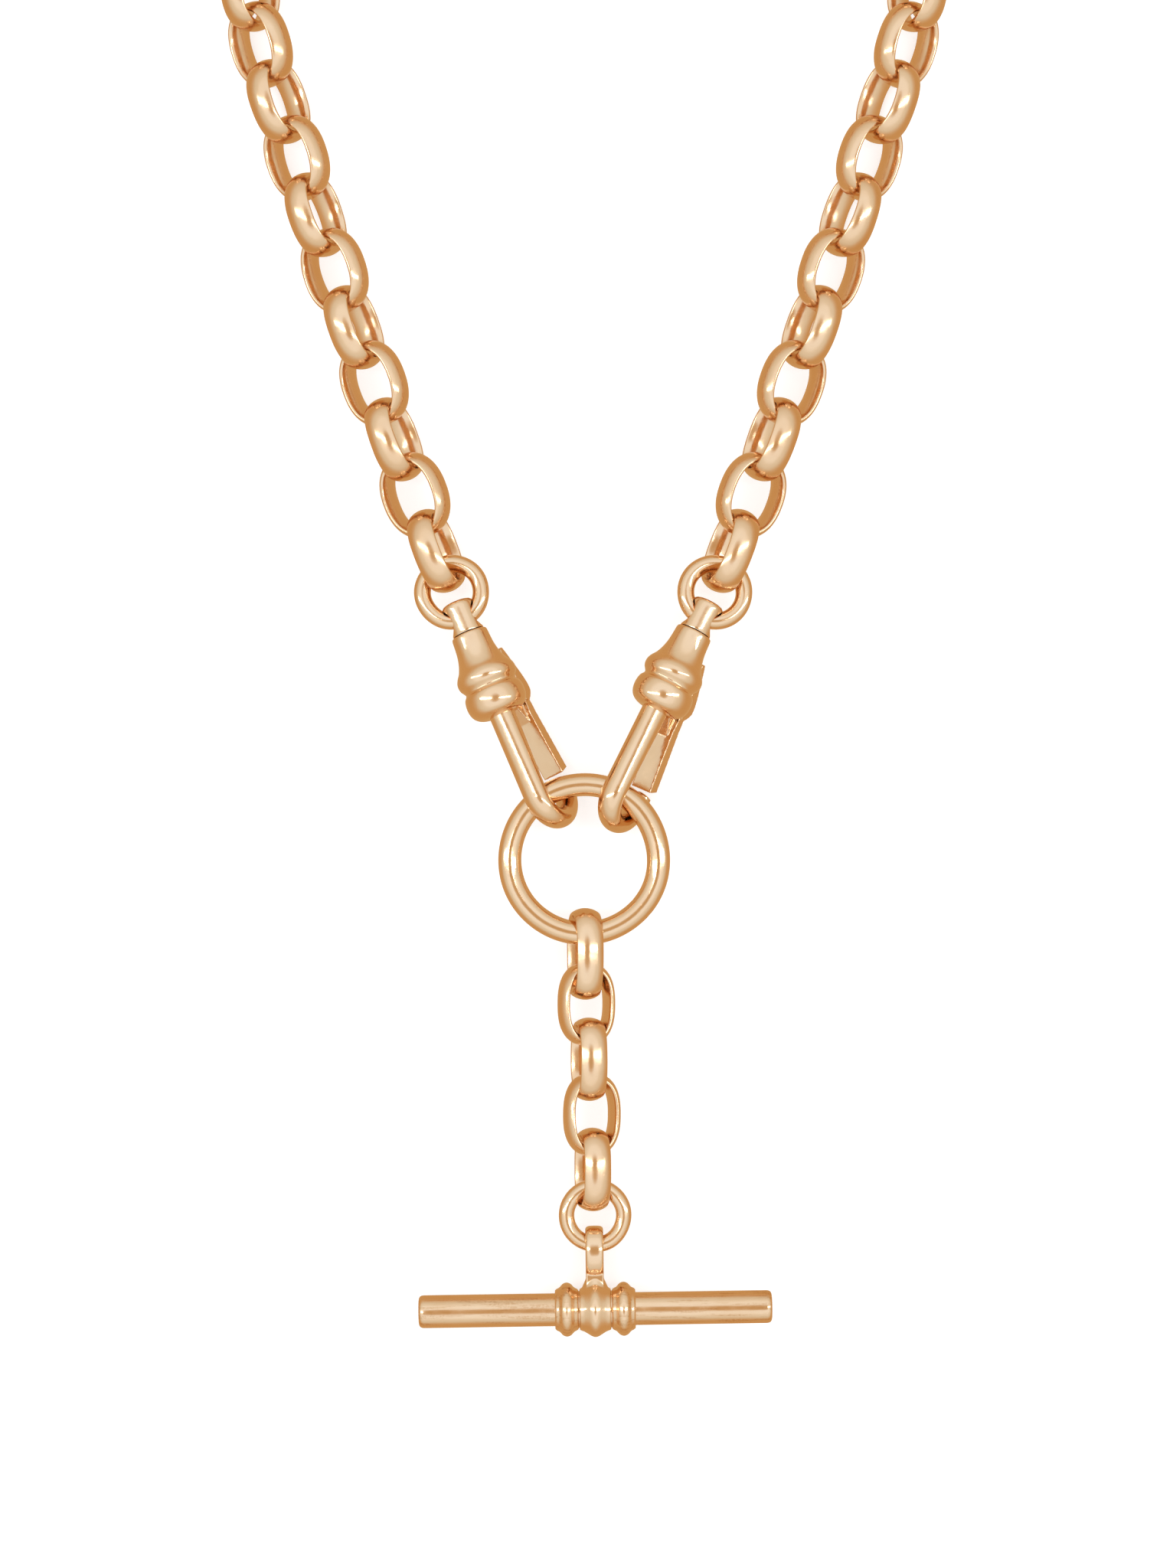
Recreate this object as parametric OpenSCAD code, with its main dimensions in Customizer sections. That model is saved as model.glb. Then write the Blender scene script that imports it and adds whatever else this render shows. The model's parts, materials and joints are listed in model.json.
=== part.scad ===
// Albert pocket watch chain: two dog clips on a ring, a drop with a T-bar,
// and a belcher chain that runs from clip to clip. It lies on a flat surface,
// +Z up, with the drop towards -Y.

/* [Chain links] */
// Outer length of a chain link
link_l = 7.5; // [7.46:0.02:7.5]
// Outer width of a chain link
link_w = 6; // [5.9:0.05:6.1]
// Thickness of the link's band
link_t = 0.95; // [0.85:0.05:0.95]
// Width of the link's band
link_b = 2.4; // [2.2:0.05:2.4]
// Distance from one link to the next along the straight strands
pitch = 5.08; // [5.06:0.01:5.1]
// Distance from one link to the next round the top
pitch_top = 4.96; // [4.94:0.01:4.98]

/* [Drop chain] */
// Outer length of a drop link
drop_l = 7.2; // [7.16:0.02:7.2]
// Outer width of a drop link
drop_w = 5.05; // [5.05:0.05:5.15]
// Thickness of the drop link's band
drop_t = 0.9; // [0.85:0.05:0.9]
// Width of the drop link's band
drop_b = 2.2; // [2:0.05:2.2]

/* [Rings] */
// Middle radius of the big ring
ring_r = 6.35; // [6.3:0.05:6.4]
// Wire diameter of the big ring
ring_d = 2; // [1.9:0.05:2]
// Middle radius of the jump rings
jump_r = 2.5; // [2.5:0.05:2.55]
// Wire diameter of the jump rings
jump_d = 1.45; // [1.3:0.05:1.45]
// Middle radius of the ring above the T-bar
small_r = 2.45; // [2.4:0.05:2.45]
// Wire diameter of the ring above the T-bar
small_d = 1.35; // [1.2:0.05:1.35]

/* [Dog clips] */
// Radius of the clip's hook wire at its bend
hook_r = 0.9; // [0.86:0.02:0.9]
// Radius of the clip's arm where it leaves the body
arm_r = 1.15; // [1:0.05:1.2]
// Radius of the swivel post
post_r = 1.4; // [1.35:0.05:1.45]
// Radius of the lever pin
pin_r = 0.4; // [0.35:0.05:0.4]

/* [T-bar] */
// Length of the bar
bar_l = 30.2; // [28:0.2:34]
// Radius of the bar's arms
bar_r = 1.4; // [1.35:0.05:1.4]
// Radius of the beads beside the eye
bead_r = 2.3; // [2.1:0.05:2.35]

/* [Hidden] */
$fn = 48;
gold = [0.87, 0.68, 0.50];
gold_dark = [0.75, 0.53, 0.36];

// Height of the ring's plane and of the strands above the surface
ring_z = 3.27;
strand_z = 3.05;
// Middle of the whole object, from the ring's centre, in X and Y
mid = [-0.04, 29.328];

// Dog clips: where the ring's wire passes (degrees from the ring's top,
// positive to the right), lean of the clip, dip of its swivel end and roll of the hook's plane
clip_at = [-27.5, 34];
clip_lean = [22.5, -27];
clip_dip = 6.5;
clip_roll = 60;
// The hook's plane: gate side offset, bend centre and where the ring's wire sits, from the seam
hook_gap = 4.7;
bend_y = -15.05;
wire_y = -15.08;
pin_at = [1.6, -5.7];
// Centre of the swivel's cross hole above the seam
eye_y = 1.35;

// Frames -------------------------------------------------------------
function rz(a) = [[cos(a), -sin(a), 0], [sin(a), cos(a), 0], [0, 0, 1]];
function rx(a) = [[1, 0, 0], [0, cos(a), -sin(a)], [0, sin(a), cos(a)]];
function ry(a) = [[cos(a), 0, sin(a)], [0, 1, 0], [-sin(a), 0, cos(a)]];
function clip_rot(s) = rz(clip_lean[s]) * rx(-clip_dip);
function wire_at(s) = [ring_r * sin(clip_at[s]), ring_r * cos(clip_at[s]), ring_z];
function seam(s) = wire_at(s) - clip_rot(s) * ry(clip_roll) * [hook_gap / 2, wire_y, 0];
function jump_c(s) = seam(s) + clip_rot(s) * [0, eye_y + jump_r, 0];

// Strand: heading of link i in degrees from +Y, its roll, its spacing and its centre
// heading_v, left and right, is the first link's heading, its change per link up the strand, and its change per link round the top
heading_v = [[20.92, -0.4, -13.4], [20.56, -0.305, -13.45]];
function heading(s, i) = heading_v[s][0] + heading_v[s][1] * min(i, 9) + heading_v[s][2] * max(i - 9, 0);
function roll(i) = (i % 2 == 1) ? min(26.5 + 2.05 * i, 46) : min(-72 + 2 * i, -50);
function step(i) = i <= 9 ? pitch : pitch_top;
function dir(s, i) = [-sin(heading(s, i)), cos(heading(s, i)), 0];
function side(s) = [s == 0 ? 1 : -1, 1, 1];
function mul(a, b) = [a[0] * b[0], a[1] * b[1], a[2] * b[2]];
function first(s) = let (j = mul(jump_c(s), side(s)))
    [j[0], j[1], strand_z] + (jump_r - jump_d / 2 - 0.8 + link_l / 2 - link_t) * dir(s, 0);
function centre(s, i) = i == 0 ? first(s)
    : centre(s, i - 1) + step(i) / 2 * (dir(s, i - 1) + dir(s, i));

// Drop: centres down from the ring's centre (x, y, z), rolls
drop_y = [-8.1, -12.38, -17.1, -21.82, -26.52];
drop_x = [0.08, 0.18, 0.41, 0.65, 0.72];
drop_z = [3.05, 2.98, 2.92, 2.87, 2.8];
drop_roll = [77, -20, 77, -20, 77];
small_at = [0.94, -30.48, 2.5];
bar_at = [0.95, -38.5, 2.42];
bar_turn = 0.87;
eye_at_y = 5.45;

module in_frame() { translate([-mid[0], -mid[1], 0]) children(); }

// Section of a D-shaped band: flat inside at x = 0, domed outside at x = t
module band(t, b, c) {
    sag = t / 2;
    ro = (b * b / 4 + sag * sag) / (2 * sag);
    intersection() {
        translate([t - ro, 0]) circle(r = ro);
        polygon([[0, -b / 2 + c], [c, -b / 2], [t + 1, -b / 2], [t + 1, b / 2], [c, b / 2], [0, b / 2 - c]]);
    }
}

// A link in the XY plane, long along Y, its band's width along Z
module link(l, w, t, b, c) {
    a = l / 2 - t;
    r = w / 2 - t;
    for (s = [0, 180]) rotate([0, 0, s]) {
        translate([r, r - a, 0]) rotate([-90, 0, 0]) linear_extrude(height = 2 * (a - r)) band(t, b, c);
        translate([0, a - r, 0]) rotate_extrude(angle = 180) translate([r, 0]) band(t, b, c);
    }
}

module torus(r, d) { rotate_extrude() translate([r, 0]) circle(d = d); }

module strand_link(s, i) {
    c = centre(s, i);
    color(i % 2 == 0 ? gold : gold_dark) in_frame()
        translate(mul(c, side(s)))
        rotate([0, 0, (s == 0 ? 1 : -1) * heading(s, i)])
        rotate([0, (s == 0 ? -1 : 1) * roll(i), 0])
        link(link_l, link_w, link_t, link_b, 0.35);
}

module drop_link(i) {
    color(i % 2 == 0 ? gold : gold_dark) in_frame()
        translate([drop_x[i], drop_y[i], drop_z[i]]) rotate([0, -drop_roll[i], 0])
        link(i == 0 ? drop_l + 0.72 : drop_l, drop_w, drop_t, drop_b, 0.35);
}

module big_ring() { color(gold) in_frame() translate([0, 0, ring_z]) torus(ring_r, ring_d); }
module drop_ring() { color(gold) in_frame() translate(small_at) torus(small_r, small_d); }

// Clip frame: Y from the hook to the swivel, X from the arm to the gate
module clip_frame(s) { in_frame() translate(seam(s)) rotate([0, 0, clip_lean[s]]) rotate([-clip_dip, 0, 0]) children(); }
module hook_frame(s) { clip_frame(s) rotate([0, clip_roll, 0]) children(); }

module along_y() { rotate([-90, 0, 0]) children(); }

module hook_body(s) {
    color(gold) hook_frame(s) difference() {
        union() {
            // belled body with its two collars
            rotate([90, 0, 0]) rotate_extrude() polygon([[0, 0], [1.5, 0], [1.65, 0.4], [1.75, 1.8], [2.15, 3.1],
                [2.6, 3.7], [2.6, 4.5], [2.25, 4.9], [2.6, 5.6], [2.6, 6.8], [2, 7.4], [1.2, 7.7], [0, 7.7]]);
            // arm, bend and tip
            translate([0, bend_y, 0]) along_y() cylinder(r1 = hook_r, r2 = arm_r, h = -bend_y - 7.2);
            translate([hook_gap / 2, bend_y, 0]) rotate([0, 0, 180]) rotate_extrude(angle = 180)
                translate([hook_gap / 2, 0]) circle(r = hook_r);
            translate([hook_gap, bend_y, 0]) along_y() cylinder(r1 = hook_r, r2 = 0.75, h = 1.2);
        }
        // socket for the swivel's stem and its head
        translate([0, -2.5, 0]) along_y() cylinder(r = 0.68, h = 3);
        translate([0, -3.25, 0]) along_y() cylinder(r = 1.05, h = 0.95);
        // slot for the lever
        translate([0.35, -8.2, -0.68]) cube([6, 5.1, 1.36]);
        // pin hole
        translate([pin_at[0], pin_at[1], 0]) cylinder(r = pin_r, h = 6, center = true);
    }
}

// Lever: plate on the pin, thumb-piece outside the body, and the gate
module lever(s) {
    color(gold_dark) hook_frame(s) {
        linear_extrude(height = 1.2, center = true) difference() {
            polygon([[0.72, -5.2], [0.72, -6.2], [1.3, -6.75], [3.1, -9], [3.7, -9], [3.4, -7.2],
                [3.6, -6.2], [3.4, -4.9], [2.9, -4], [1.6, -4.6], [1.1, -4.75]]);
            translate(pin_at) circle(r = pin_r + 0.06);
        }
        linear_extrude(height = 2.2, center = true) polygon([[1.95, -2.1], [2.15, -2.9], [2.68, -3.6], [2.68, -5.7],
            [2.95, -6.9], [3.6, -6.9], [4.3, -6], [4, -4.8], [3.1, -3], [2.5, -1.95]]);
        linear_extrude(height = 2, center = true) polygon([[2.7, -8], [3.7, -8], [5.05, -13.34], [4, -13.74]]);
    }
}

module lever_pin(s) {
    color(gold) hook_frame(s) translate([pin_at[0], pin_at[1], 0]) cylinder(r = pin_r, h = 3.9, center = true);
}

// Leaf spring behind the lever, bowed towards it
module lever_spring(s) {
    color(gold_dark) hook_frame(s) translate([-19.49, -5.1, -0.5]) rotate([0, 0, -4.2])
        rotate_extrude(angle = 8.4) translate([19.9, 0]) square([0.12, 1]);
}

module swivel_post(s) {
    color(gold) clip_frame(s) difference() {
        union() {
            translate([0, 0.04, 0]) along_y() cylinder(r = post_r, h = 2.36);
            translate([0, 2.4, 0]) along_y() cylinder(r1 = post_r, r2 = 0.95, h = 0.5);
            translate([0, -2.8, 0]) along_y() cylinder(r = 0.62, h = 3.2);
            translate([0, -3.1, 0]) along_y() cylinder(r = 0.95, h = 0.7);
        }
        translate([0, eye_y, 0]) rotate([0, 90, 0]) {
            cylinder(r = 0.88, h = 4, center = true);
            for (m = [0, 180]) rotate([m, 0, 0]) translate([0, 0, 0.35]) cylinder(r1 = 0.88, r2 = 1.3, h = 1.15);
        }
    }
}

module jump_ring(s) { color(gold) clip_frame(s) translate([0, eye_y + jump_r, 0]) torus(jump_r, jump_d); }

// T-bar: X along the bar, Y towards the ring
module bar_frame() { in_frame() translate(bar_at) rotate([0, 0, bar_turn]) children(); }
module turned() { rotate([0, 90, 0]) rotate_extrude() children(); }

module tbar_eye() {
    color(gold) bar_frame() difference() {
        union() {
            turned() polygon([[0, -1.35], [1.8, -1.35], [2.05, -0.8], [2.3, -0.4], [2.4, 0], [2.3, 0.4], [2.05, 0.8], [1.8, 1.35], [0, 1.35]]);
            translate([0, 1.9, 0]) along_y() cylinder(r1 = 1.2, r2 = 0.6, h = 1);
            translate([0, 1.9, 0]) along_y() cylinder(r = 0.7, h = 2.2);
            translate([0, eye_at_y, 0]) rotate([0, 90, 0]) cylinder(r = 1.7, h = 1.56, center = true);
        }
        rotate([0, 90, 0]) cylinder(r = bar_r + 0.23, h = 6, center = true);
        translate([0, eye_at_y, 0]) rotate([0, 90, 0]) cylinder(r = 1, h = 6, center = true);
    }
}

// The rod's middle is a little thicker than its arms and carries the beads and the eye's collar
module tbar_rod() {
    mid_r = bar_r + 0.17;
    color(gold) bar_frame() turned() polygon([[0, -bar_l / 2], [bar_r - 0.25, -bar_l / 2], [bar_r, -bar_l / 2 + 0.25],
        [bar_r, -3.43], [mid_r, -3.43], [mid_r, 3.43], [bar_r, 3.43], [bar_r, bar_l / 2 - 0.25], [bar_r - 0.25, bar_l / 2], [0, bar_l / 2]]);
}

module tbar_beads() {
    in_r = bar_r + 0.17;
    color(gold_dark) bar_frame() for (m = [-1, 1]) translate([m * 2.43, 0, 0])
        turned() polygon([[in_r, -1], [in_r + 0.15, -1], [bead_r - 0.1, -0.5], [bead_r, -0.2],
            [bead_r, 0.2], [bead_r - 0.1, 0.5], [in_r + 0.15, 1], [in_r, 1]]);
}

big_ring();
drop_link(0);  // drop_link_1
drop_link(1);  // drop_link_2
drop_link(2);  // drop_link_3
drop_link(3);  // drop_link_4
drop_link(4);  // drop_link_5
drop_ring();
tbar_eye();
tbar_rod();
tbar_beads();
hook_body(0);  // left_hook_body
lever(0);  // left_lever
lever_pin(0);  // left_lever_pin
lever_spring(0);  // left_lever_spring
swivel_post(0);  // left_swivel_post
jump_ring(0);  // left_jump_ring
hook_body(1);  // right_hook_body
lever(1);  // right_lever
lever_pin(1);  // right_lever_pin
lever_spring(1);  // right_lever_spring
swivel_post(1);  // right_swivel_post
jump_ring(1);  // right_jump_ring
strand_link(0, 0);  // left_link_01
strand_link(0, 1);  // left_link_02
strand_link(0, 2);  // left_link_03
strand_link(0, 3);  // left_link_04
strand_link(0, 4);  // left_link_05
strand_link(0, 5);  // left_link_06
strand_link(0, 6);  // left_link_07
strand_link(0, 7);  // left_link_08
strand_link(0, 8);  // left_link_09
strand_link(0, 9);  // left_link_10
strand_link(0, 10);  // left_link_11
strand_link(0, 11);  // left_link_12
strand_link(0, 12);  // left_link_13
strand_link(0, 13);  // left_link_14
strand_link(0, 14);  // left_link_15
strand_link(0, 15);  // left_link_16
strand_link(0, 16);  // left_link_17
strand_link(0, 17);  // left_link_18
strand_link(1, 0);  // right_link_01
strand_link(1, 1);  // right_link_02
strand_link(1, 2);  // right_link_03
strand_link(1, 3);  // right_link_04
strand_link(1, 4);  // right_link_05
strand_link(1, 5);  // right_link_06
strand_link(1, 6);  // right_link_07
strand_link(1, 7);  // right_link_08
strand_link(1, 8);  // right_link_09
strand_link(1, 9);  // right_link_10
strand_link(1, 10);  // right_link_11
strand_link(1, 11);  // right_link_12
strand_link(1, 12);  // right_link_13
strand_link(1, 13);  // right_link_14
strand_link(1, 14);  // right_link_15
strand_link(1, 15);  // right_link_16
strand_link(1, 16);  // right_link_17
strand_link(1, 17);  // right_link_18
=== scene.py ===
import json
import math

import bmesh
import bpy
import numpy as np
from mathutils import Matrix, Vector


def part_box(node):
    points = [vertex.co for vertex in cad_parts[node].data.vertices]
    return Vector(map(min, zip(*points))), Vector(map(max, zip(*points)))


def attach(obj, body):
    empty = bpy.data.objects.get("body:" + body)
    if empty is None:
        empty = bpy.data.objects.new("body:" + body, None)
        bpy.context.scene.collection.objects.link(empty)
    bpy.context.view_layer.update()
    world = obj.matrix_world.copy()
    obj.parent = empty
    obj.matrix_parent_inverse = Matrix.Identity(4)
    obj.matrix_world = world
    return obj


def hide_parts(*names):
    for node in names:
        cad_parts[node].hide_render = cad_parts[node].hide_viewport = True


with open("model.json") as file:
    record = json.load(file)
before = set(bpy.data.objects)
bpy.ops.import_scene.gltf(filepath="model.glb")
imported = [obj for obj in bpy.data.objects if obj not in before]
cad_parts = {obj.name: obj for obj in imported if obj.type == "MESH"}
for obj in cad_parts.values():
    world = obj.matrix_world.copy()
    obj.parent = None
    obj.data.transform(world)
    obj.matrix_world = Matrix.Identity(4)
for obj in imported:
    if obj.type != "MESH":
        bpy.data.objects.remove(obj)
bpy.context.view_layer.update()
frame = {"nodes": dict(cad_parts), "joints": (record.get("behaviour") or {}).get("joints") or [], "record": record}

JOINT = {j["name"]: j for j in frame["joints"]}
UP = np.array([0.0, 0.0, 1.0])
SC = bpy.context.scene


# ---------------------------------------------------------------- frame data
def unit(v):
    v = np.array(v, float)
    return v / np.linalg.norm(v)


def joint_at(name):
    """A joint's point in mm and its axis."""
    j = JOINT[name]
    return np.array(j["pos_m"], float) * 1000, unit(j["axis"])


def mid(node):
    lo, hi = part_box(node)
    return (np.array(lo) + np.array(hi)) * 500


def axes(x, y):
    """Columns x, y, x cross y."""
    x, y = unit(x), unit(y)
    y = unit(y - x * x.dot(y))
    return np.column_stack([x, y, np.cross(x, y)])


# ---------------------------------------------------------------- mesh tools
def new_object(name, verts, faces):
    """verts in mm."""
    me = bpy.data.meshes.new(name)
    me.from_pydata((np.asarray(verts, float) * 0.001).tolist(), [], faces)
    me.update()
    ob = bpy.data.objects.new(name, me)
    SC.collection.objects.link(ob)
    return ob


def grid_faces(n, m, close_n, close_m):
    out = []
    for i in range(n if close_n else n - 1):
        for k in range(m if close_m else m - 1):
            a, b = i * m + k, i * m + (k + 1) % m
            c, d = ((i + 1) % n) * m + (k + 1) % m, ((i + 1) % n) * m + k
            out.append((a, b, c, d))
    return out


def sweep(points, normals, binormals, profile, closed=True):
    """Carries profile(i) -> (m, 2) along points; x of the profile is along the normal and y along the binormal."""
    n = len(points)
    rings = []
    for i in range(n):
        p = profile(i)
        rings.append(points[i] + p[:, :1] * normals[i] + p[:, 1:] * binormals[i])
    m = len(rings[0])
    verts = np.concatenate(rings)
    faces = grid_faces(n, m, closed, True)
    if not closed:
        verts = np.concatenate([verts, [rings[0].mean(0), rings[-1].mean(0)]])
        a, b = n * m, n * m + 1
        for k in range(m):
            faces.append((a, (k + 1) % m, k))
            faces.append((b, (n - 1) * m + k, (n - 1) * m + (k + 1) % m))
    return verts, faces


def circle(r, m=40):
    t = np.arange(m) * 2 * np.pi / m
    return np.column_stack([r * np.cos(t), r * np.sin(t)])


def fix_normals(ob):
    bm = bmesh.new()
    bm.from_mesh(ob.data)
    bmesh.ops.remove_doubles(bm, verts=bm.verts, dist=2e-7)
    bmesh.ops.dissolve_degenerate(bm, edges=bm.edges, dist=1e-8)
    bmesh.ops.recalc_face_normals(bm, faces=bm.faces)
    bm.to_mesh(ob.data)
    bm.free()
    ob.data.update()


def shade(ob, angle=None):
    ob.data.polygons.foreach_set("use_smooth", [True] * len(ob.data.polygons))
    if angle:
        ob.data.set_sharp_from_angle(angle=math.radians(angle))
    ob.data.update()


def revolve(profile, m=96, spin=None):
    """A closed solid from (radius, height) points, first and last on the axis; height is along Z."""
    pts = np.array(profile, float)
    t = np.arange(m) * 2 * np.pi / m
    rings, faces = [], []
    inner = pts[1:-1]
    for r, h in inner:
        rings.append(np.column_stack([r * np.cos(t), r * np.sin(t), np.full(m, h)]))
    n = len(inner)
    verts = np.concatenate(rings + [[[0, 0, pts[0][1]], [0, 0, pts[-1][1]]]])
    faces = grid_faces(n, m, False, True)
    a, b = n * m, n * m + 1
    for k in range(m):
        faces.append((a, (k + 1) % m, k))
        faces.append((b, (n - 1) * m + k, (n - 1) * m + (k + 1) % m))
    return verts, faces


def smooth_curve(points, per=8):
    """Catmull-Rom through the points."""
    p = np.array(points, float)
    p = np.concatenate([[2 * p[0] - p[1]], p, [2 * p[-1] - p[-2]]])
    out = []
    for i in range(1, len(p) - 2):
        for s in np.arange(per) / per:
            a, b, c, d = p[i - 1], p[i], p[i + 1], p[i + 2]
            out.append(0.5 * (2 * b + (c - a) * s + (2 * a - 5 * b + 4 * c - d) * s**2 + (3 * b - a - 3 * c + d) * s**3))
    out.append(p[-2])
    return np.array(out)


def placed(verts, R, origin):
    return np.asarray(verts) @ np.asarray(R).T + np.asarray(origin)


def boolean(ob, other, kind, keep=False):
    mod = ob.modifiers.new("b", "BOOLEAN")
    mod.operation = kind
    mod.object = other
    try:
        mod.solver = "MANIFOLD"
    except TypeError:
        mod.solver = "EXACT"
    apply_modifiers(ob)
    if not keep:
        me = other.data
        bpy.data.objects.remove(other)
        bpy.data.meshes.remove(me)


def apply_modifiers(ob):
    dg = bpy.context.evaluated_depsgraph_get()
    me = bpy.data.meshes.new_from_object(ob.evaluated_get(dg))
    old = ob.data
    ob.modifiers.clear()
    ob.data = me
    me.name = ob.name
    bpy.data.meshes.remove(old)


def remesh(ob, voxel_mm, smooth=8, factor=0.5):
    mod = ob.modifiers.new("r", "REMESH")
    mod.mode = "VOXEL"
    mod.voxel_size = voxel_mm * 0.001
    mod.adaptivity = 0
    if smooth:
        s = ob.modifiers.new("s", "SMOOTH")
        s.factor = factor
        s.iterations = smooth
    apply_modifiers(ob)


# ---------------------------------------------------------------- materials
def ramp(nt, src, stops):
    r = nt.nodes.new("ShaderNodeValToRGB")
    r.color_ramp.elements[0].position, r.color_ramp.elements[1].position = stops[0][0], stops[-1][0]
    r.color_ramp.elements[0].color, r.color_ramp.elements[1].color = stops[0][1], stops[-1][1]
    for pos, col in stops[1:-1]:
        e = r.color_ramp.elements.new(pos)
        e.color = col
    nt.links.new(src, r.inputs["Fac"])
    return r.outputs["Color"]


def gold(name, base, deep, rough=(0.07, 0.2), scratch=1.0, stretch=(1, 1, 1), recess_shade=0.22, streak=0.0):
    """Worn, polished rose gold: colour drifts with the alloy, fine hairline scratches, small dents, and painted shade
    darkening the recesses.
    """
    mat = bpy.data.materials.new(name)
    mat.use_nodes = True
    nt = mat.node_tree
    nt.nodes.clear()
    out = nt.nodes.new("ShaderNodeOutputMaterial")
    bsdf = nt.nodes.new("ShaderNodeBsdfPrincipled")
    bsdf.inputs["Metallic"].default_value = 1.0
    nt.links.new(bsdf.outputs["BSDF"], out.inputs["Surface"])
    co = nt.nodes.new("ShaderNodeTexCoord")
    sc = nt.nodes.new("ShaderNodeMapping")
    sc.inputs["Scale"].default_value = stretch
    nt.links.new(co.outputs["Object"], sc.inputs["Vector"])

    def noise(scale, detail, rough_, vec, dist=0.0):
        n = nt.nodes.new("ShaderNodeTexNoise")
        n.inputs["Scale"].default_value = scale
        n.inputs["Detail"].default_value = detail
        n.inputs["Roughness"].default_value = rough_
        n.inputs["Distortion"].default_value = dist
        nt.links.new(vec, n.inputs["Vector"])
        return n.outputs["Fac"]

    broad = noise(260, 3, 0.55, co.outputs["Object"], 0.3)
    colour = ramp(nt, broad, [(0.3, (*deep, 1)), (0.62, (*base, 1))])
    # painted shade: ambient occlusion darkens the colour in recesses, where shade falls
    ao = nt.nodes.new("ShaderNodeAmbientOcclusion")
    ao.samples = 6
    ao.inputs["Distance"].default_value = 0.0009
    painted_shade_mask = ramp(nt, ao.outputs["AO"], [(0.12, (1, 1, 1, 1)), (0.62, (0, 0, 0, 1))])
    # painted shade: the colour is multiplied towards a dark warm tone where the ambient occlusion is low
    painted_shade = nt.nodes.new("ShaderNodeMixRGB")
    painted_shade.blend_type = "MULTIPLY"
    painted_shade.inputs["Color2"].default_value = (0.62, 0.42, 0.25, 1)
    k = nt.nodes.new("ShaderNodeMath")
    k.operation = "MULTIPLY"
    k.inputs[1].default_value = recess_shade
    nt.links.new(painted_shade_mask, k.inputs[0])
    nt.links.new(k.outputs[0], painted_shade.inputs["Fac"])
    nt.links.new(colour, painted_shade.inputs["Color1"])
    last = painted_shade.outputs["Color"]
    if streak:
        # rubbed-in tarnish in broken lines along the piece
        st = nt.nodes.new("ShaderNodeMapping")
        st.inputs["Scale"].default_value = (0.09, 1, 1)
        nt.links.new(co.outputs["Object"], st.inputs["Vector"])
        line = ramp(nt, noise(2600, 3, 0.6, st.outputs["Vector"]), [(0.53, (0, 0, 0, 1)), (0.62, (streak, streak, streak, 1))])
        spot = ramp(nt, noise(5200, 3, 0.7, co.outputs["Object"]), [(0.42, (0.25, 0.25, 0.25, 1)), (0.6, (1, 1, 1, 1))])
        both = nt.nodes.new("ShaderNodeMixRGB")
        both.blend_type = "MULTIPLY"
        both.inputs["Fac"].default_value = 1.0
        nt.links.new(line, both.inputs["Color1"])
        nt.links.new(spot, both.inputs["Color2"])
        dark = nt.nodes.new("ShaderNodeMixRGB")
        dark.blend_type = "MULTIPLY"
        dark.inputs["Color2"].default_value = (0.72, 0.55, 0.38, 1)
        nt.links.new(both.outputs["Color"], dark.inputs["Fac"])
        nt.links.new(last, dark.inputs["Color1"])
        last = dark.outputs["Color"]
    nt.links.new(last, bsdf.inputs["Base Color"])
    # roughness: polish is uneven, with a few rubbed patches
    patch = noise(900, 4, 0.6, co.outputs["Object"])
    lo, hi = rough
    rr = ramp(nt, patch, [(0.35, (lo, lo, lo, 1)), (0.7, (hi, hi, hi, 1))])
    nt.links.new(rr, bsdf.inputs["Roughness"])
    # bump: hairlines along the piece and soft hammer-like unevenness
    hair = noise(6500, 2, 0.7, sc.outputs["Vector"], 0.6)
    soft = noise(700, 2, 0.5, co.outputs["Object"])
    b1 = nt.nodes.new("ShaderNodeBump")
    b1.inputs["Strength"].default_value = 0.10 * scratch
    b1.inputs["Distance"].default_value = 0.00002
    nt.links.new(hair, b1.inputs["Height"])
    b2 = nt.nodes.new("ShaderNodeBump")
    b2.inputs["Strength"].default_value = 0.22
    b2.inputs["Distance"].default_value = 0.00008
    nt.links.new(soft, b2.inputs["Height"])
    nt.links.new(b1.outputs["Normal"], b2.inputs["Normal"])
    nt.links.new(b2.outputs["Normal"], bsdf.inputs["Normal"])
    return mat


BASE, DEEP = (0.87, 0.62, 0.40), (0.845, 0.58, 0.355)
GOLD = gold("rose_gold_polished", BASE, DEEP)
GOLD_LINK = gold("rose_gold_links", (0.865, 0.61, 0.39), (0.84, 0.565, 0.34), rough=(0.12, 0.25))
GOLD_BAR = gold("rose_gold_bar", BASE, DEEP, rough=(0.1, 0.24), stretch=(0.12, 1, 1), scratch=1.3, streak=0.55)
GOLD_RING = gold("rose_gold_rings", BASE, (0.845, 0.585, 0.36), rough=(0.08, 0.17))
GOLD_SPRING = gold("rose_gold_spring", (0.70, 0.44, 0.25), (0.6, 0.35, 0.18), rough=(0.2, 0.35))


def finish_piece(ob, node, mat, angle=None):
    fix_normals(ob)
    shade(ob, angle)
    ob.data.materials.clear()
    ob.data.materials.append(mat)
    body = next(b for b, ns in frame["record"]["behaviour"]["bodies"].items() if node in ns)
    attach(ob, body)
    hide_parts(node)


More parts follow.
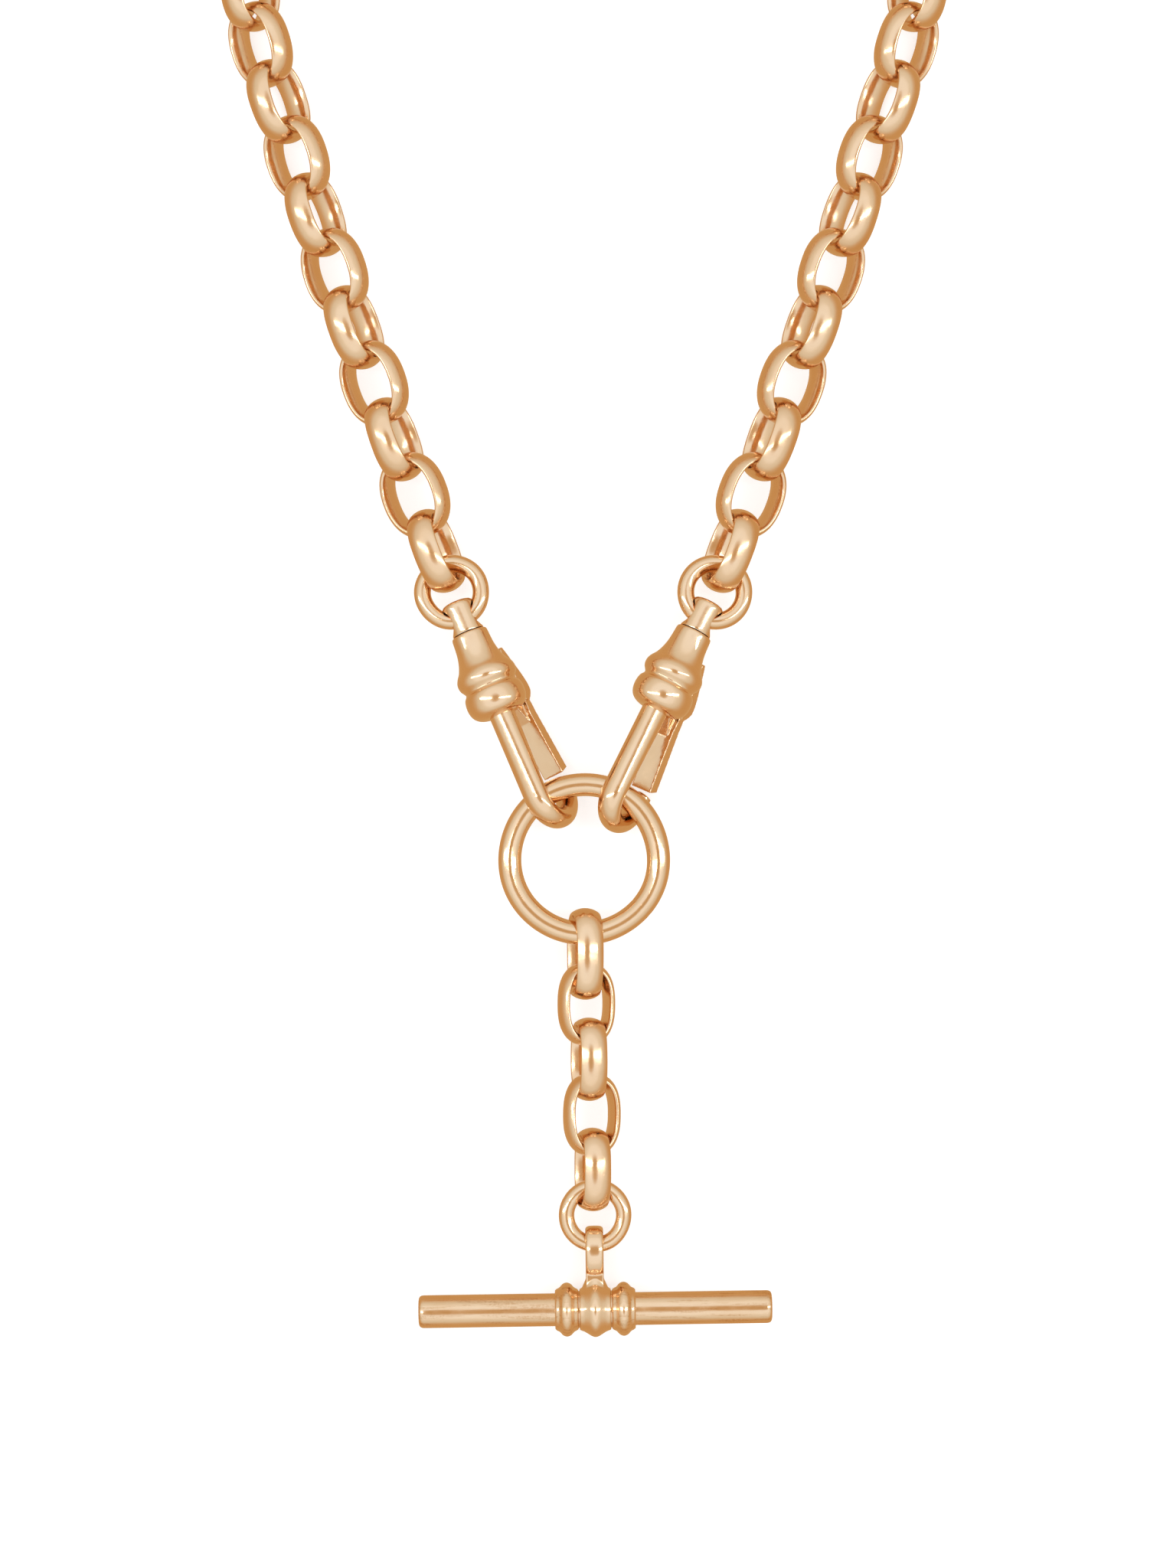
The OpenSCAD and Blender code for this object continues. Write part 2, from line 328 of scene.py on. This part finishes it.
# ---------------------------------------------------------------- links
def band_profile(t, b, re, xc, m_out=15, m_in=9, m_e=6):
    """Closed D-shaped section: crowned inside at x=0, domed outside at x=t, rounded edges at y=+-b/2."""
    yc = b / 2 - re
    ro = (re * re - (xc - t) ** 2 - yc * yc) / (2 * (xc - t + re))
    ri = (xc * xc + yc * yc - re * re) / (2 * (xc - re))
    a_o = math.atan2(yc, xc - (t - ro))
    a_i = math.atan2(yc, ri - xc)
    pts = []
    for a in np.linspace(-a_o, a_o, m_out):
        pts.append((t - ro + ro * math.cos(a), ro * math.sin(a)))
    for a in np.linspace(a_o, math.pi - a_i, m_e + 2)[1:-1]:
        pts.append((xc + re * math.cos(a), yc + re * math.sin(a)))
    for a in np.linspace(a_i, -a_i, m_in):
        pts.append((ri - ri * math.cos(a), ri * math.sin(a)))
    for a in np.linspace(math.pi + a_i, 2 * math.pi - a_o, m_e + 2)[1:-1]:
        pts.append((xc + re * math.cos(a), -yc + re * math.sin(a)))
    return np.array(pts)


def oval_path(A, B, p=2.3, n=104):
    """A superellipse with even spacing; Y is the long way."""
    t = np.linspace(0, 2 * np.pi, 4001)
    c, s = np.cos(t), np.sin(t)
    x = B * np.sign(c) * np.abs(c) ** (2 / p)
    y = A * np.sign(s) * np.abs(s) ** (2 / p)
    d = np.concatenate([[0], np.cumsum(np.hypot(np.diff(x), np.diff(y)))])
    q = np.linspace(0, d[-1], n + 1)[:-1]
    x, y = np.interp(q, d, x), np.interp(q, d, y)
    # normal of |x/B|^p + |y/A|^p
    nx = np.sign(x) * np.abs(x / B) ** (p - 1) / B
    ny = np.sign(y) * np.abs(y / A) ** (p - 1) / A
    k = np.hypot(nx, ny)
    P = np.column_stack([x, y, np.zeros(n)])
    N = np.column_stack([nx / k, ny / k, np.zeros(n)])
    return P, N


def band_link(name, l, w, t, b, R, origin, seed, re=0.17, n=104, p=2.3):
    """One link: a band bent to an oval, a little uneven as a hand-closed link is."""
    rng = np.random.default_rng(seed)
    A, B = l / 2 - t, w / 2 - t
    P, N = oval_path(A, B, p=p, n=n)
    ph = np.arctan2(P[:, 1] / A, P[:, 0] / B)
    wob = rng.normal(0, 1, (3, 2)) * 0.012
    wid = 1 + sum(wob[k, 0] * np.cos((k + 1) * ph) + wob[k, 1] * np.sin((k + 1) * ph) for k in range(3))
    # the band wears a little thinner where the links pull on each other
    thin = 1 - 0.05 * np.abs(np.sin(ph)) ** 6
    Z = np.tile(UP, (n, 1))
    verts, faces = sweep(P, N, Z, lambda i: band_profile(t * thin[i], b * min(wid[i], 1.0), re, t * 0.41))
    return new_object(name, placed(verts, R, origin), faces)


REC = frame["record"]
nodes = list(frame["nodes"])


def link_place(node, l, w, t):
    """A link's turn and centre from its own hinge: the axis is the link's normal and the point is its near inner arc's centre."""
    pos, n = joint_at(node + "_swing")
    if n[2] < 0:
        n = -n
    d = unit(np.cross(UP, n))
    if d.dot(mid(node) - pos) < 0:
        d = -d
    c = pos + d * ((l / 2 - t) - (w / 2 - t))
    return np.column_stack([np.cross(d, n), d, n]), c


LINK = dict(l=7.5, w=6.0, t=0.95, b=2.4)
DROP = dict(l=7.2, w=5.05, t=0.9, b=2.3)
seed = 100
for side in ("left", "right"):
    for i in range(1, 19):
        node = f"{side}_link_{i:02d}"
        seed += 1
        R, c = link_place(node, LINK["l"], LINK["w"], LINK["t"])
        ob = band_link("v_" + node, R=R, origin=c, seed=seed, **LINK)
        finish_piece(ob, node, GOLD_LINK)
for i in range(1, 6):
    node = f"drop_link_{i}"
    seed += 1
    dims = dict(DROP)
    if i == 1:
        dims["l"] += 0.72
    R, c = link_place(node, dims["l"], dims["w"], dims["t"])
    ob = band_link("v_" + node, R=R, origin=c, seed=seed, re=0.17, p=2.5, **dims)
    finish_piece(ob, node, GOLD_LINK)


# ---------------------------------------------------------------- rings
def wire_ring(name, r, d, R, origin, seed, n=160, m=44, join=0.0):
    """A ring of round wire, closed with a solder joint at angle join."""
    rng = np.random.default_rng(seed)
    t = np.arange(n) * 2 * np.pi / n
    wob = rng.normal(0, 1, (4, 4)) * 0.006
    rad = 1 + sum(wob[k, 0] * np.cos((k + 2) * t) + wob[k, 1] * np.sin((k + 2) * t) for k in range(4)) * 0.35
    thick = 1 + sum(wob[k, 2] * np.cos((k + 1) * t) + wob[k, 3] * np.sin((k + 1) * t) for k in range(4)) - 0.012
    P = np.column_stack([r * rad * np.cos(t), r * rad * np.sin(t), np.zeros(n)])
    N = np.column_stack([np.cos(t), np.sin(t), np.zeros(n)])
    dist = np.abs((t - join + np.pi) % (2 * np.pi) - np.pi) * r
    seamed = thick * (1 - 0.018 * np.exp(-((dist / 0.09) ** 2)))
    verts, faces = sweep(P, N, np.tile(UP, (n, 1)), lambda i: circle(d / 2 * min(seamed[i], 1.0), m))
    return new_object(name, placed(verts, R, origin), faces)


I3 = np.eye(3)
ob = wire_ring("v_big_ring", 6.35, 2.0, I3, mid("big_ring"), 7, n=240, m=56, join=-0.7)
finish_piece(ob, "big_ring", GOLD_RING)
ob = wire_ring("v_drop_ring", 2.45, 1.35, I3, mid("drop_ring"), 8, join=2.6)
finish_piece(ob, "drop_ring", GOLD_RING)

CLIP = {}
for side in ("left", "right"):
    seam, ya = joint_at(f"{side}_swivel_turn")
    if ya[1] < 0:
        ya = -ya
    eye, xa = joint_at(f"{side}_jump_ring_swing")
    if xa[0] < 0:
        xa = -xa
    K = axes(xa, ya)
    pin, za = joint_at(f"{side}_lever_open")
    if za[2] < 0:
        za = -za
    hx = np.cross(ya, za)
    H = np.column_stack([unit(hx), ya, za])
    CLIP[side] = dict(seam=seam, K=K, eye=eye, H=H, pin=pin)
    jr = mid(f"{side}_jump_ring")
    ob = wire_ring(f"v_{side}_jump_ring", 2.5, 1.45, K, jr, 9 if side == "left" else 10, join=2.2 if side == "left" else 0.9)
    finish_piece(ob, f"{side}_jump_ring", GOLD_RING)

# ---------------------------------------------------------------- dog clips
HOOK_GAP, BEND_Y, PIN = 4.7, -15.05, (1.6, -5.7)
ROT_Y = np.array([[1.0, 0, 0], [0, 0, 1.0], [0, -1.0, 0]])  # local Z of a revolve to local Y


def block(name, lo, hi, R=I3, origin=(0, 0, 0)):
    lo, hi = np.array(lo, float), np.array(hi, float)
    v = np.array([[x, y, z] for x in (lo[0], hi[0]) for y in (lo[1], hi[1]) for z in (lo[2], hi[2])])
    f = [(0, 1, 3, 2), (4, 6, 7, 5), (0, 4, 5, 1), (2, 3, 7, 6), (0, 2, 6, 4), (1, 5, 7, 3)]
    return new_object(name, placed(v, R, origin), f)


def rod(name, r, a, b, R=I3, origin=(0, 0, 0), m=48, r2=None):
    """A cylinder or cone from point a to point b."""
    a, b = np.array(a, float), np.array(b, float)
    d = unit(b - a)
    x = unit(np.cross(d, [0.3, 0.5, 0.81]))
    y = np.cross(d, x)
    t = np.arange(m) * 2 * np.pi / m
    ring = lambda c, q: c + q * (np.outer(np.cos(t), x) + np.outer(np.sin(t), y))
    v = np.concatenate([ring(a, r), ring(b, r if r2 is None else r2), [a, b]])
    f = [(k, (k + 1) % m, m + (k + 1) % m, m + k) for k in range(m)]
    f += [(2 * m, (k + 1) % m, k) for k in range(m)] + [(2 * m + 1, m + k, m + (k + 1) % m) for k in range(m)]
    return new_object(name, placed(v, R, origin), f)


BODY = [(0, 0), (1.3, 0), (1.47, -0.03), (1.56, -0.14), (1.6, -0.4), (1.63, -0.9), (1.7, -1.6), (1.86, -2.3), (2.12, -2.95), (2.42, -3.4),
        (2.58, -3.75), (2.62, -4.1), (2.54, -4.45), (2.36, -4.72), (2.26, -4.92), (2.32, -5.1), (2.5, -5.35), (2.6, -5.75), (2.62, -6.25),
        (2.52, -6.75), (2.28, -7.15), (1.9, -7.42), (1.45, -7.56), (1.1, -7.6), (0, -7.6)]


def hook_path():
    """Arm, bend and tip in the hook's plane, with the radius along it."""
    pts, rad = [], []
    for y in np.linspace(-6.6, BEND_Y, 60)[:-1]:
        s = (y + 7.2) / (BEND_Y + 7.2)
        pts.append((0, y))
        rad.append(1.14 + (0.88 - 1.14) * max(0, min(1, s)))
    for a in np.linspace(math.pi, 2 * math.pi, 72):
        pts.append((HOOK_GAP / 2 + HOOK_GAP / 2 * math.cos(a), BEND_Y + HOOK_GAP / 2 * math.sin(a)))
        rad.append(0.86)
    n = 16
    for k in range(1, n + 1):
        s = k / n
        pts.append((HOOK_GAP, BEND_Y + 0.87 * s))
        rad.append(0.88 - 0.12 * s)
    # rounded end
    for a in np.linspace(0, math.pi / 2, 12)[1:]:
        pts.append((HOOK_GAP, BEND_Y + 0.87 + 0.31 * math.sin(a)))
        rad.append(max(0.02, 0.76 - 0.31 * (1 - math.cos(a)) - 0.45 * (a / (math.pi / 2)) ** 6))
    return np.array(pts), np.array(rad)


def make_hook(side):
    c = CLIP[side]
    H, o = c["H"], c["seam"]
    body = smooth_curve(BODY[1:-1], 4)
    prof = [(0, 0)] + [tuple(p) for p in body] + [(0, -7.6)]
    v, f = revolve([(r, h) for r, h in prof], m=128)
    ob = new_object(f"v_{side}_hook_body", placed(placed(v, np.array([[1.0, 0, 0], [0, 0, 1.0], [0, -1.0, 0]]), (0, 0, 0)), H, o), f)
    fix_normals(ob)
    P, rad = hook_path()
    P3 = np.column_stack([P, np.zeros(len(P))])
    # the wire is flattened: wider across the hook's plane, most of all at the bend
    wide = np.interp(np.arange(len(P)), [0, 20, 62, 110, 131, 147, len(P) - 1], [1.12, 1.12, 1.1, 1.0, 0.96, 0.88, 0.02])
    wide = np.minimum(wide, rad * 1.42)
    T = np.gradient(P3, axis=0)
    T /= np.linalg.norm(T, axis=1)[:, None]
    T[-12:] = (0, 1, 0)
    N = np.column_stack([-T[:, 1], T[:, 0], np.zeros(len(P))])
    v, f = sweep(P3, N, np.tile(UP, (len(P), 1)), lambda i: circle(rad[i], 44) * (1, wide[i] / rad[i]), closed=False)
    arm = new_object("arm", placed(v, H, o), f)
    fix_normals(arm)
    boolean(ob, arm, "UNION")
    for cut in (
        block("slot", (0.35, -8.2, -0.68), (6, -3.1, 0.68), H, o),
        rod("bore", 0.68, (0, -2.5, 0), (0, 0.5, 0), H, o),
        rod("head", 1.05, (0, -3.25, 0), (0, -2.3, 0), H, o),
        rod("pinhole", 0.4, (*PIN, -3), (*PIN, 3), H, o),
    ):
        fix_normals(cut)
        boolean(ob, cut, "DIFFERENCE")
    finish_piece(ob, f"{side}_hook_body", GOLD, angle=32)
    ob = rod(f"v_{side}_lever_pin", 0.395, (*PIN, -1.93), (*PIN, 1.93), H, o)
    bev = ob.modifiers.new("bev", "BEVEL")
    bev.width, bev.segments, bev.limit_method, bev.angle_limit = 0.00008, 3, "ANGLE", math.radians(50)
    apply_modifiers(ob)
    finish_piece(ob, f"{side}_lever_pin", GOLD, angle=32)
    # leaf spring
    t = np.linspace(math.radians(-4.2), math.radians(4.2), 24) - math.radians(4.2) + math.radians(4.2)
    P3 = np.column_stack([-19.49 + 19.96 * np.cos(t), -5.1 + 19.96 * np.sin(t), np.zeros(24)])
    N = np.column_stack([np.cos(t), np.sin(t), np.zeros(24)])
    box = np.array([[-0.055, -0.48], [0.055, -0.48], [0.06, 0], [0.055, 0.48], [-0.055, 0.48], [-0.06, 0]])
    v, f = sweep(P3, N, np.tile(UP, (24, 1)), lambda i: box, closed=False)
    ob = new_object(f"v_{side}_lever_spring", placed(v, H, o), f)
    finish_piece(ob, f"{side}_lever_spring", GOLD_SPRING, angle=30)


def make_post(side):
    c = CLIP[side]
    K, o = c["K"], c["seam"]
    prof = [(0, 0.04), (1.28, 0.04), (1.37, 0.07), (1.4, 0.16)] + [(1.4, y) for y in np.linspace(0.3, 2.05, 12)]
    prof += [(1.4, 2.3), (1.39, 2.5), (1.33, 2.68), (1.2, 2.8), (1.0, 2.87), (0.6, 2.89), (0.3, 2.9), (0, 2.9)]
    v, f = revolve(prof, m=96)
    ob = new_object(f"v_{side}_swivel_post", placed(placed(v, ROT_Y, (0, 0, 0)), K, o), f)
    fix_normals(ob)
    for cut in (
        rod("hole", 0.88, (-3, 1.35, 0), (3, 1.35, 0), K, o),
        rod("fl1", 0.88, (0.35, 1.35, 0), (1.5, 1.35, 0), K, o, r2=1.3),
        rod("fl2", 0.88, (-0.35, 1.35, 0), (-1.5, 1.35, 0), K, o, r2=1.3),
    ):
        fix_normals(cut)
        boolean(ob, cut, "DIFFERENCE")
    for add in (rod("stem", 0.62, (0, -2.8, 0), (0, 0.3, 0), K, o), rod("head", 0.95, (0, -3.1, 0), (0, -2.4, 0), K, o)):
        fix_normals(add)
        boolean(ob, add, "UNION")
    finish_piece(ob, f"{side}_swivel_post", GOLD, angle=32)


def flat_solid(name, outline, h, R, origin, edge=0.3):
    """An outline of (x, y) points as a plate of half thickness h."""
    p = np.array(outline, float)
    n = len(p)
    v = np.concatenate([np.column_stack([p, np.full(n, -h)]), np.column_stack([p, np.full(n, h)])])
    f = [tuple(range(n))[::-1], tuple(range(n, 2 * n))] + [(k, (k + 1) % n, n + (k + 1) % n, n + k) for k in range(n)]
    ob = new_object(name, placed(v, R, origin), f)
    fix_normals(ob)
    return ob


def make_lever(side):
    c = CLIP[side]
    H, o = c["H"], c["seam"]
    ob = flat_solid(f"v_{side}_lever", [(0.72, -5.2), (0.72, -6.2), (1.3, -6.75), (3.1, -9), (3.7, -9), (3.4, -7.2),
                                        (3.6, -6.2), (3.4, -4.9), (2.9, -4), (1.6, -4.6), (1.1, -4.75)], 0.58, H, o)
    pad = flat_solid("pad", smooth_curve([(2.02, -2.15), (2.2, -2.9), (2.7, -3.65), (2.72, -4.7), (2.72, -5.75), (2.98, -6.85), (3.55, -6.85),
                                          (4.24, -6.0), (3.96, -4.8), (3.08, -3.05), (2.5, -2.0), (2.25, -1.98)], 3), 1.08, H, o)
    boolean(ob, pad, "UNION")
    strip = flat_solid("strip", [(2.78, -6.7), (3.55, -6.7), (3.78, -8.0), (4.4, -10.6), (5.04, -13.33), (4.02, -13.72), (3.35, -10.8), (2.82, -8.2)], 1.0, H, o)
    boolean(ob, strip, "UNION")
    remesh(ob, 0.055, smooth=9)
    hole = rod("hole", 0.45, (*PIN, -3), (*PIN, 3), H, o)
    fix_normals(hole)
    boolean(ob, hole, "DIFFERENCE")
    finish_piece(ob, f"{side}_lever", GOLD, angle=40)


for side in ("left", "right"):
    make_hook(side)
    make_post(side)
    make_lever(side)

# ---------------------------------------------------------------- T-bar
BAR_AT, BX = joint_at("tbar_spin")
if BX[0] < 0:
    BX = -BX
T = np.column_stack([BX, np.cross(UP, BX), UP])
TURN_X = np.array([[0, 0, 1.0], [1.0, 0, 0], [0, 1.0, 0]])  # local Z of a revolve to local X
BAR_L, BAR_R = 30.2, 1.57


def turned(name, prof, m=112):
    v, f = revolve(prof, m=m)
    ob = new_object(name, placed(placed(v, TURN_X, (0, 0, 0)), T, BAR_AT), f)
    fix_normals(ob)
    return ob


arm = 1.4
e = BAR_L / 2
prof = [(0, -e), (arm - 0.42, -e), (arm - 0.25, -e + 0.03), (arm - 0.1, -e + 0.12), (arm - 0.02, -e + 0.28)]
prof += [(arm, x) for x in np.linspace(-e + 0.45, -3.6, 30)] + [(arm, -3.45), (BAR_R, -3.43)]
prof += [(BAR_R, x) for x in np.linspace(-3.3, 3.3, 12)] + [(BAR_R, 3.43), (arm, 3.45)]
prof += [(arm, x) for x in np.linspace(3.6, e - 0.45, 30)]
prof += [(arm - 0.02, e - 0.28), (arm - 0.1, e - 0.12), (arm - 0.25, e - 0.03), (arm - 0.42, e), (0, e)]
ob = turned("v_tbar_rod", prof)
finish_piece(ob, "tbar_rod", GOLD_BAR, angle=35)

bead = smooth_curve([(1.64, -1.0), (1.76, -0.88), (1.9, -0.62), (2.14, -0.4), (2.26, -0.2), (2.3, 0), (2.26, 0.2), (2.14, 0.4), (1.9, 0.62), (1.76, 0.88), (1.64, 1.0)], 4)


def bead_at(name, x0):
    rs = [(0, x0 - 1.0)] + [(r, x0 + h) for r, h in bead] + [(0, x0 + 1.0)]
    ob = turned(name, rs)
    hole = rod("hole", 1.57, (-8, 0, 0), (8, 0, 0), T, BAR_AT, m=112)
    fix_normals(hole)
    boolean(ob, hole, "DIFFERENCE")
    return ob


ob = bead_at("v_tbar_beads", -2.43)
other = bead_at("b2", 2.43)
boolean(ob, other, "UNION")
finish_piece(ob, "tbar_beads", GOLD_BAR, angle=38)

collar = smooth_curve([(1.74, -1.35), (1.8, -1.22), (1.9, -0.95), (2.1, -0.62), (2.3, -0.3), (2.38, 0), (2.3, 0.3), (2.1, 0.62), (1.9, 0.95), (1.8, 1.22), (1.74, 1.35)], 4)
ob = turned("v_tbar_eye", [(0, -1.35)] + [tuple(p) for p in collar] + [(0, 1.35)])
EYE_Y = 5.45
n = 96
t = np.linspace(0, 2 * np.pi, n, endpoint=False)
# a flat loop of rounded strip standing on the collar
yy = EYE_Y - 0.35 + np.sign(np.sin(t)) * np.abs(np.sin(t)) ** 0.95 * 1.66
zz = 1.31 * np.sign(np.cos(t)) * np.abs(np.cos(t)) ** 0.95
yy = np.where(np.sin(t) < 0, EYE_Y - 0.35 + 1.9 * np.sin(t), EYE_Y + 1.31 * np.sin(t) - 0.35 * (1 - np.abs(np.sin(t))))
P3 = np.column_stack([np.zeros(n), yy, zz])
Tn = np.roll(P3, -1, 0) - np.roll(P3, 1, 0)
Tn /= np.linalg.norm(Tn, axis=1)[:, None]
N = np.cross(Tn, np.tile([1.0, 0, 0], (n, 1)))
se = lambda a, b, p, m=36: np.array([(a * np.sign(np.cos(q)) * abs(np.cos(q)) ** (2 / p), b * np.sign(np.sin(q)) * abs(np.sin(q)) ** (2 / p)) for q in np.arange(m) * 2 * np.pi / m])
v, f = sweep(P3, N, np.tile([1.0, 0, 0], (n, 1)), lambda i: se(0.38, 0.77, 3.2))
loop = new_object("loop", placed(v, T, BAR_AT), f)
fix_normals(loop)
boolean(ob, loop, "UNION")
foot = rod("foot", 1.15, (0, 1.8, 0), (0, 2.75, 0), T, BAR_AT, r2=0.72)
fix_normals(foot)
boolean(ob, foot, "UNION")
stem = block("stem", (-0.765, 1.9, -0.74), (0.765, 4.1, 0.74), T, BAR_AT)
fix_normals(stem)
boolean(ob, stem, "UNION")
remesh(ob, 0.06, smooth=10)
hole = rod("hole", 1.63, (-8, 0, 0), (8, 0, 0), T, BAR_AT, m=112)
fix_normals(hole)
boolean(ob, hole, "DIFFERENCE")
finish_piece(ob, "tbar_eye", GOLD, angle=40)

# ---------------------------------------------------------------- stage, lights, camera
def stage_mesh(name, verts, faces, colour, glow, spread):
    """A pale surface of the set, lit and slightly self-lit like a light table, which the metal doesn't mirror."""
    ob = new_object(name, verts, faces)
    m = bpy.data.materials.new(name)
    m.use_nodes = True
    nt = m.node_tree
    b = nt.nodes["Principled BSDF"]
    b.inputs["Roughness"].default_value = 0.9
    b.inputs["Specular IOR Level"].default_value = 0.0
    nz = nt.nodes.new("ShaderNodeTexNoise")
    nz.inputs["Scale"].default_value = 40
    lo = tuple(c * spread for c in colour)
    nt.links.new(ramp(nt, nz.outputs["Fac"], [(0.3, (*lo, 1)), (0.7, (*colour, 1))]), b.inputs["Base Color"])
    b.inputs["Emission Color"].default_value = (1, 1, 1, 1)
    b.inputs["Emission Strength"].default_value = glow
    ob.data.materials.append(m)
    ob.visible_glossy = False
    return ob


stage_mesh("floor", [(-2400, -2400, 0), (2400, -2400, 0), (2400, 2400, 0), (-2400, 2400, 0)], [(0, 1, 2, 3)], (0.6, 0.6, 0.6), 0.62, 0.985)
n = 48
wall = [(2300 * math.cos(2 * math.pi * k / n), 2300 * math.sin(2 * math.pi * k / n), z) for z in (-5, 1600) for k in range(n)]
back = stage_mesh("backdrop", wall, [((k + 1) % n, k, n + k, n + (k + 1) % n) for k in range(n)], (0.05, 0.05, 0.05), 0.92, 0.985)
back.visible_diffuse = False
back.visible_shadow = False

world = bpy.data.worlds.new("tent")
SC.world = world
world.use_nodes = True
wn = world.node_tree
wn.nodes.clear()
wo = wn.nodes.new("ShaderNodeOutputWorld")
bg = wn.nodes.new("ShaderNodeBackground")
wn.links.new(bg.outputs[0], wo.inputs["Surface"])
tc = wn.nodes.new("ShaderNodeTexCoord")
sep = wn.nodes.new("ShaderNodeSeparateXYZ")
wn.links.new(tc.outputs["Generated"], sep.inputs[0])
mr = wn.nodes.new("ShaderNodeMapRange")
mr.inputs["From Min"].default_value, mr.inputs["From Max"].default_value = -1, 1
wn.links.new(sep.outputs["Z"], mr.inputs["Value"])
WARM = (0.60, 0.39, 0.19, 1)
stops = [(0.0, (0.66, 0.42, 0.19, 1)), (0.40, (0.66, 0.43, 0.21, 1)), (0.53, (0.70, 0.53, 0.35, 1)), (0.67, (0.80, 0.80, 0.75, 1)),
         (0.79, (0.88, 0.89, 0.87, 1)), (0.86, (1.0, 1.06, 1.12, 1)), (0.965, (1.02, 1.10, 1.20, 1)), (0.99, (0.68, 0.51, 0.33, 1)), (1.0, (0.62, 0.44, 0.25, 1))]
wn.links.new(ramp(wn, mr.outputs["Result"], stops), bg.inputs["Color"])
bg.inputs["Strength"].default_value = 1.0


def softbox(name, loc, target, w, h, power, colour=(1, 1, 1)):
    l = bpy.data.lights.new(name, "AREA")
    l.shape = "RECTANGLE"
    l.size, l.size_y = w, h
    l.energy = power
    l.color = colour
    ob = bpy.data.objects.new(name, l)
    ob.location = loc
    d = Vector(target) - Vector(loc)
    ob.rotation_euler = d.to_track_quat("-Z", "Y").to_euler()
    ob.visible_camera = False
    SC.collection.objects.link(ob)
    return ob


softbox("left_box", (-0.62, 0.0, 0.80), (0, 0, 0), 0.10, 0.9, 1.6, (0.93, 0.97, 1.0))
softbox("right_box", (0.62, 0.0, 0.80), (0, 0, 0), 0.10, 0.9, 1.6, (0.93, 0.97, 1.0))

cam = bpy.data.cameras.new("camera")
co = bpy.data.objects.new("camera", cam)
SC.collection.objects.link(co)
SC.camera = co
PX = 15.3  # photo scale, in pixels for each millimetre at the chain's plane
cam.sensor_width = 36
cam.lens = 100
dist = (2048 / PX) / 2 / (18 / 100) * 0.001
ring = mid("big_ring") * 0.001
co.location = (ring[0] - 0.00036, ring[1] + 0.0064, 0.003 + dist)
co.rotation_euler = (0, 0, 0)
cam.clip_start, cam.clip_end = 0.01, 20
SC.view_settings.view_transform = "Standard"
SC.view_settings.look = "None"
SC.view_settings.exposure = 0.0
